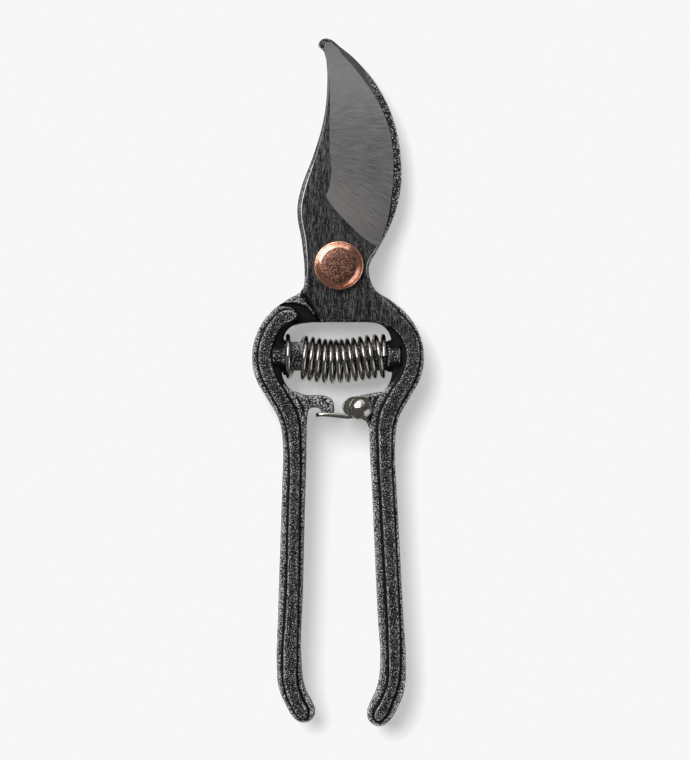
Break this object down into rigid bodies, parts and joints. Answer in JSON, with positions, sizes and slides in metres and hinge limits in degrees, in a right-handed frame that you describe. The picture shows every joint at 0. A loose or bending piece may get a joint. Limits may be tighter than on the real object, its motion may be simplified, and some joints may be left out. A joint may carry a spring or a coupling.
{
  "type": "pruning shears",
  "caption": "Forged steel bypass pruning shears: curved cutting blade over a hook blade, copper-coloured pivot bolt, coil return spring and riveted handle catch.",
  "frame": {"origin": "middle of the pivot bolt's end face, which is the lowest point of the shears lying on their back", "axes": "+Y from the pivot towards the blade tip, along the shears' length; +Z out of the front, along the pivot; +X towards the handle of the cutting blade"},
  "size_m": [0.0515, 0.2062, 0.0171],
  "materials": {
    "black_wrinkle_paint": "fine black wrinkle texture on forged steel",
    "copper_plate": "copper plating, bright rim and fine-textured face",
    "zinc_plate": "satin zinc plating",
    "spring_steel": "polished nickel-plated spring wire",
    "nickel_plate": "bright nickel plating"
  },
  "bodies": {
    "blade_side": {"blade_half": "black_wrinkle_paint", "pivot_bolt": "copper_plate", "pivot_washer": "zinc_plate", "pivot_nut": "zinc_plate", "return_spring": "spring_steel", "latch_rivet": "nickel_plate", "latch_washer": "nickel_plate"},
    "hook_side": {"hook_half": "black_wrinkle_paint"},
    "catch": {"latch_catch": "nickel_plate"}
  },
  "joints": [
    {"name": "handle_pivot", "type": "hinge", "parent": "blade_side", "child": "hook_side", "pos_m": [0, 0, 0.009], "axis": [0, 0, -1], "range_deg": [0, 27], "deforming": ["return_spring"]},
    {"name": "catch_swing", "type": "hinge", "parent": "blade_side", "child": "catch", "pos_m": [0.0066, -0.0427, 0.0125], "axis": [0, 0, 1], "range_deg": [0, 81]}
  ],
  "couplings": [
    {"joint": "catch_swing", "follows": "handle_pivot", "ratio": 3}
  ]
}
